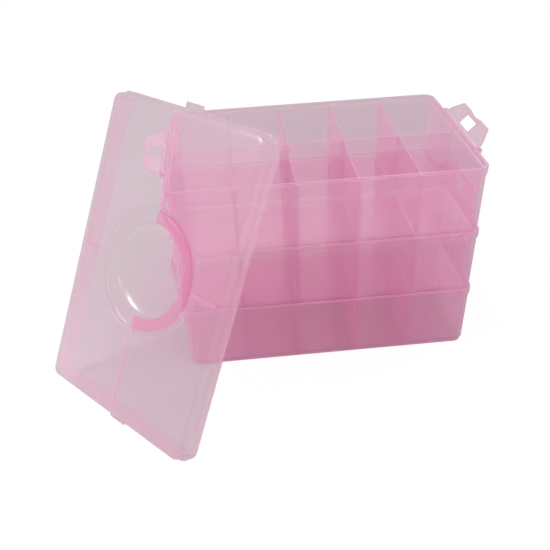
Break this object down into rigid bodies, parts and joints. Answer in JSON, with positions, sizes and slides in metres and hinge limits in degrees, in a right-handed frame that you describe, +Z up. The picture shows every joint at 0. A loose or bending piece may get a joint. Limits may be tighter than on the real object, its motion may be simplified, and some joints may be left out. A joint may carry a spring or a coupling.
{
  "type": "bobbin box",
  "caption": "Clear pink stacking notions organiser: divided trays, flip clips at both ends and a loose lid with a fold-down handle.",
  "frame": {"origin": "middle of the bottom tray's underside, on the surface the box stands on", "axes": "+Z up, +X along the box's length towards the right-hand clips, +Y towards the back"},
  "size_m": [0.3868, 0.2847, 0.2347],
  "materials": {
    "pink_clear": "clear pink moulded polypropylene, semi-gloss",
    "clip_clear": "paler clear pink polypropylene, semi-gloss"
  },
  "bodies": {
    "bottom_tray": {"bottom_tray": "pink_clear", "bottom_catch_right": "pink_clear", "bottom_catch_left": "pink_clear", "bottom_divider_front_1": "pink_clear", "bottom_divider_back_1": "pink_clear", "bottom_divider_front_2": "pink_clear", "bottom_divider_back_2": "pink_clear", "bottom_divider_front_3": "pink_clear", "bottom_divider_back_3": "pink_clear", "bottom_divider_front_4": "pink_clear", "bottom_divider_back_4": "pink_clear"},
    "middle_tray": {"middle_tray": "pink_clear", "middle_catch_right": "pink_clear", "middle_catch_left": "pink_clear", "middle_divider_front_1": "pink_clear", "middle_divider_back_1": "pink_clear", "middle_divider_front_2": "pink_clear", "middle_divider_back_2": "pink_clear", "middle_divider_front_3": "pink_clear", "middle_divider_back_3": "pink_clear", "middle_divider_front_4": "pink_clear", "middle_divider_back_4": "pink_clear"},
    "top_tray": {"top_tray": "pink_clear", "top_catch_right": "pink_clear", "top_catch_left": "pink_clear"},
    "lid": {"lid": "pink_clear"},
    "handle": {"handle": "clip_clear"},
    "top_divider_front_1": {"top_divider_front_1": "pink_clear"},
    "top_divider_back_1": {"top_divider_back_1": "pink_clear"},
    "top_divider_front_2": {"top_divider_front_2": "pink_clear"},
    "top_divider_back_2": {"top_divider_back_2": "pink_clear"},
    "top_divider_front_3": {"top_divider_front_3": "pink_clear"},
    "top_divider_back_3": {"top_divider_back_3": "pink_clear"},
    "top_divider_front_4": {"top_divider_front_4": "pink_clear"},
    "top_divider_back_4": {"top_divider_back_4": "pink_clear"},
    "bottom_clip_right": {"bottom_clip_right": "clip_clear"},
    "bottom_clip_left": {"bottom_clip_left": "clip_clear"},
    "middle_clip_right": {"middle_clip_right": "clip_clear"},
    "middle_clip_left": {"middle_clip_left": "clip_clear"},
    "top_clip_right": {"top_clip_right": "clip_clear"},
    "top_clip_left": {"top_clip_left": "clip_clear"}
  },
  "joints": [
    {"name": "middle_tray_lift", "type": "slide", "parent": "bottom_tray", "child": "middle_tray", "axis": [0, 0, 1], "range_m": [0, 0.075]},
    {"name": "top_tray_lift", "type": "slide", "parent": "middle_tray", "child": "top_tray", "axis": [0, 0, 1], "range_m": [0, 0.075]},
    {"name": "lid_lift", "type": "slide", "parent": "top_tray", "child": "lid", "axis": [0, 0, 1], "range_m": [0, 0.12]},
    {"name": "handle_fold", "type": "hinge", "parent": "lid", "child": "handle", "pos_m": [-0.14606, -0.10241, 0.12163], "axis": [-0.3401, -0.3316, -0.88], "range_deg": [0, 100]},
    {"name": "top_divider_front_1_pull", "type": "slide", "parent": "top_tray", "child": "top_divider_front_1", "axis": [0, 0, 1], "range_m": [0, 0.04]},
    {"name": "top_divider_back_1_pull", "type": "slide", "parent": "top_tray", "child": "top_divider_back_1", "axis": [0, 0, 1], "range_m": [0, 0.06]},
    {"name": "top_divider_front_2_pull", "type": "slide", "parent": "top_tray", "child": "top_divider_front_2", "axis": [0, 0, 1], "range_m": [0, 0.06]},
    {"name": "top_divider_back_2_pull", "type": "slide", "parent": "top_tray", "child": "top_divider_back_2", "axis": [0, 0, 1], "range_m": [0, 0.06]},
    {"name": "top_divider_front_3_pull", "type": "slide", "parent": "top_tray", "child": "top_divider_front_3", "axis": [0, 0, 1], "range_m": [0, 0.06]},
    {"name": "top_divider_back_3_pull", "type": "slide", "parent": "top_tray", "child": "top_divider_back_3", "axis": [0, 0, 1], "range_m": [0, 0.06]},
    {"name": "top_divider_front_4_pull", "type": "slide", "parent": "top_tray", "child": "top_divider_front_4", "axis": [0, 0, 1], "range_m": [0, 0.06]},
    {"name": "top_divider_back_4_pull", "type": "slide", "parent": "top_tray", "child": "top_divider_back_4", "axis": [0, 0, 1], "range_m": [0, 0.06]},
    {"name": "bottom_clip_right_flip", "type": "hinge", "parent": "bottom_tray", "child": "bottom_clip_right", "pos_m": [0.1302, 0, 0.0578], "axis": [0, 1, 0], "range_deg": [-28, 82]},
    {"name": "bottom_clip_left_flip", "type": "hinge", "parent": "bottom_tray", "child": "bottom_clip_left", "pos_m": [-0.1302, 0, 0.0578], "axis": [0, -1, 0], "range_deg": [-28, 82]},
    {"name": "middle_clip_right_flip", "type": "hinge", "parent": "middle_tray", "child": "middle_clip_right", "pos_m": [0.1302, 0, 0.1159], "axis": [0, 1, 0], "range_deg": [-28, 82]},
    {"name": "middle_clip_left_flip", "type": "hinge", "parent": "middle_tray", "child": "middle_clip_left", "pos_m": [-0.1302, 0, 0.1159], "axis": [0, -1, 0], "range_deg": [-28, 82]},
    {"name": "top_clip_right_flip", "type": "hinge", "parent": "top_tray", "child": "top_clip_right", "pos_m": [0.1302, 0, 0.174], "axis": [0, 1, 0], "range_deg": [-46, 64]},
    {"name": "top_clip_left_flip", "type": "hinge", "parent": "top_tray", "child": "top_clip_left", "pos_m": [-0.1302, 0, 0.174], "axis": [0, -1, 0], "range_deg": [-84, 26]}
  ]
}
